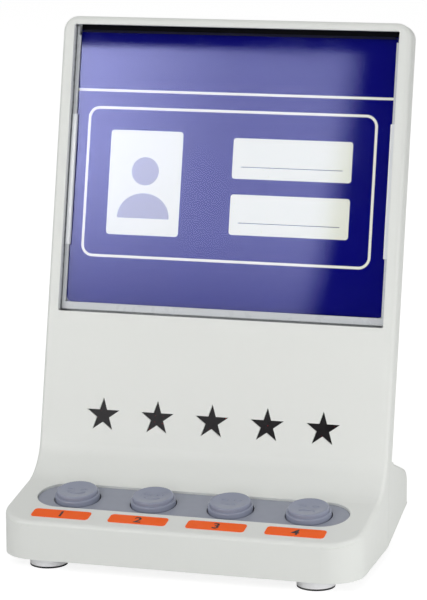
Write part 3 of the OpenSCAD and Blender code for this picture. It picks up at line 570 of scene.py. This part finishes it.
def spring_coil(i):
    """The return spring's own coil, a copy of its mesh attached to the housing in place of the imported
    spring.
    """
    source = nodes[f"return_spring_{i + 1}"]
    data = source.data.copy()
    data.transform(source.matrix_world)
    coil = bpy.data.objects.new(f"spring_coil_{i + 1}", data)
    scene.collection.objects.link(coil)
    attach(coil, "housing")
    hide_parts(source.name)
    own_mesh(coil)


for i in range(4):
    rating_mark(i)
    label_number(i)
    spring_coil(i)


# ---------------------------------------------------------------- stage and light

WHITE = (1.0, 1.0, 1.0, 1.0)
DOME_STRENGTH = 0.44
FLOOR_SIZE = 6.0
# What lamps see of the floor, and what the camera sees: a shaded part and a glow that add up to white.
FLOOR_TONE = (0.8, 0.8, 0.8, 1.0)
SHOWN_TONE = (0.34, 0.34, 0.34, 1.0)
SHOWN_GLOW = 0.84


def make_world():
    world = bpy.data.worlds.new("studio")
    scene.world = world
    world.use_nodes = True
    tree = world.node_tree
    tree.nodes.clear()
    path = tree.nodes.new("ShaderNodeLightPath")
    dome = tree.nodes.new("ShaderNodeBackground")
    dome.inputs["Color"].default_value = WHITE
    dome.inputs["Strength"].default_value = DOME_STRENGTH
    shown = tree.nodes.new("ShaderNodeBackground")
    shown.inputs["Color"].default_value = WHITE
    shown.inputs["Strength"].default_value = 1.0
    seen = tree.nodes.new("ShaderNodeMath")
    seen.operation = "MAXIMUM"
    tree.links.new(path.outputs["Is Camera Ray"], seen.inputs[0])
    tree.links.new(path.outputs["Is Transmission Ray"], seen.inputs[1])
    mix = tree.nodes.new("ShaderNodeMixShader")
    tree.links.new(seen.outputs[0], mix.inputs["Fac"])
    tree.links.new(dome.outputs[0], mix.inputs[1])
    tree.links.new(shown.outputs[0], mix.inputs[2])
    output = tree.nodes.new("ShaderNodeOutputWorld")
    tree.links.new(mix.outputs[0], output.inputs["Surface"])


def make_floor():
    """A pale floor that keeps the object's shadow and meets the background's white."""
    bm = bmesh.new()
    bmesh.ops.create_grid(bm, x_segments=1, y_segments=1, size=FLOOR_SIZE)
    data = bpy.data.meshes.new("floor")
    bm.to_mesh(data)
    bm.free()
    floor = bpy.data.objects.new("floor", data)
    scene.collection.objects.link(floor)
    g = Graph("floor")
    g.tree.nodes.remove(g.shader)
    path = g.new("ShaderNodeLightPath")
    seen = g.math("MAXIMUM", path.outputs["Is Camera Ray"], path.outputs["Is Transmission Ray"])
    matt = g.new("ShaderNodeBsdfDiffuse")
    g.link(g.mix(seen, FLOOR_TONE, SHOWN_TONE), matt.inputs["Color"])
    glow = g.new("ShaderNodeEmission")
    g.link(g.mul(seen, SHOWN_GLOW), glow.inputs["Strength"])
    both = g.new("ShaderNodeAddShader")
    g.link(matt.outputs[0], both.inputs[0])
    g.link(glow.outputs[0], both.inputs[1])
    g.link(both.outputs[0], g.output.inputs["Surface"])
    data.materials.append(g.material)


def area_light(name, place, target, size, power):
    light = bpy.data.lights.new(name, "AREA")
    light.shape = "RECTANGLE"
    light.size, light.size_y = size
    light.energy = power
    obj = bpy.data.objects.new(name, light)
    scene.collection.objects.link(obj)
    obj.location = place
    obj.rotation_euler = (Vector(target) - Vector(place)).to_track_quat("-Z", "Y").to_euler()
    obj.visible_camera = False
    obj.visible_glossy = False


# The window that glossy surfaces see: where its board stands, and where its light ends, in metres.
BOARD_Y = -1.7
BOARD_CORNERS = ((-2.4, -0.2), (1.6, -0.2), (1.6, 2.6), (-2.4, 2.6))
WINDOW_TOP = (0.824, 0.839)
WINDOW_SIDE = -0.375
WINDOW_BEND = 0.22
WINDOW_STRENGTH = 7.4


def make_board():
    """What glossy surfaces see in front of the object: a dark room with one large soft window."""
    bm = bmesh.new()
    bm.faces.new([bm.verts.new((x, BOARD_Y, z)) for x, z in BOARD_CORNERS])
    data = bpy.data.meshes.new("window_board")
    bm.to_mesh(data)
    bm.free()
    board = bpy.data.objects.new("window_board", data)
    scene.collection.objects.link(board)
    g = Graph("window_board")
    g.tree.nodes.remove(g.shader)
    x, y, z = g.split(g.place)
    # Its right side bends away to the left below the top.
    drop = g.math("MAXIMUM", g.sub(0.82, z), 0.0)
    edge = g.sub(WINDOW_SIDE, g.mul(g.mul(drop, drop), WINDOW_BEND))
    across = g.sub(x, edge)
    side = g.smooth(across, -0.03, 0.015, 1.0, 0.0)
    top = g.smooth(z, *WINDOW_TOP, 1.0, 0.0)
    # It is dimmer below, and brightest in its upper left corner.
    fall = g.smooth(z, 0.47, 0.62, 0.38, 1.0)
    corner = g.mul(g.smooth(x, -0.76, -0.5, 0.8, 0.0), g.smooth(z, 0.56, 0.72, 0.3, 1.0))
    spread = g.add(0.68, corner)
    strength = g.mul(g.mul(g.mul(side, top), g.mul(fall, spread)), WINDOW_STRENGTH)
    glow = g.new("ShaderNodeEmission")
    g.link(strength, glow.inputs["Strength"])
    g.link(glow.outputs[0], g.output.inputs["Surface"])
    data.materials.append(g.material)
    board.visible_camera = False
    board.visible_diffuse = False
    board.visible_transmission = False
    board.visible_shadow = False


# Name, place, what it points at, width and height in metres, and watts.
LIGHTS = (
    ("key", (-0.9, -1.3, 1.3), (0, 0, 0.12), (1.1, 0.9), 7.5),
    ("fill", (1.5, -0.9, 0.6), (0, 0, 0.12), (1.2, 1.0), 1.5),
    ("low_front", (0.1, -0.75, 0.1), (0, -0.05, 0.01), (0.7, 0.15), 0.85),
    ("low_right", (0.36, -0.08, 0.045), (0.08, 0, 0.03), (0.2, 0.06), 0.28),
    ("top", (0, -0.2, 1.6), (0, 0, 0.1), (1.4, 1.2), 3.2),
    ("back", (0.2, 1.5, 1.2), (0, 0, 0.12), (1.6, 0.9), 4.0),
)

make_world()
make_floor()
make_board()
for light in LIGHTS:
    area_light(*light)


# ---------------------------------------------------------------- camera


# The camera: degrees round to the right, above and of roll, millimetres of its place and its lens.
CAMERA_TURN = (16.45, 11.36, -0.26)
CAMERA_PLACE = (335.62, -1127.94, 351.9)
CAMERA_LENS = 159.49


def make_camera():
    """The photograph's camera: its angles, its distance and its long lens."""
    around, above, roll = (math.radians(turn) for turn in CAMERA_TURN)
    right = Vector((math.cos(around), math.sin(around), 0))
    back = Vector((math.sin(around) * math.cos(above), -math.cos(around) * math.cos(above), math.sin(above)))
    up = back.cross(right)
    c, s = math.cos(roll), math.sin(roll)
    right, up = c * right + s * up, c * up - s * right
    camera = bpy.data.cameras.new("camera")
    camera.sensor_fit = "AUTO"
    camera.sensor_width = 36
    camera.lens = CAMERA_LENS
    camera.clip_start = 0.05
    camera.clip_end = 50
    obj = bpy.data.objects.new("camera", camera)
    scene.collection.objects.link(obj)
    turn = Matrix((right, up, back)).transposed().to_4x4()
    obj.matrix_world = Matrix.Translation(Vector(CAMERA_PLACE) * MM) @ turn
    scene.camera = obj


make_camera()
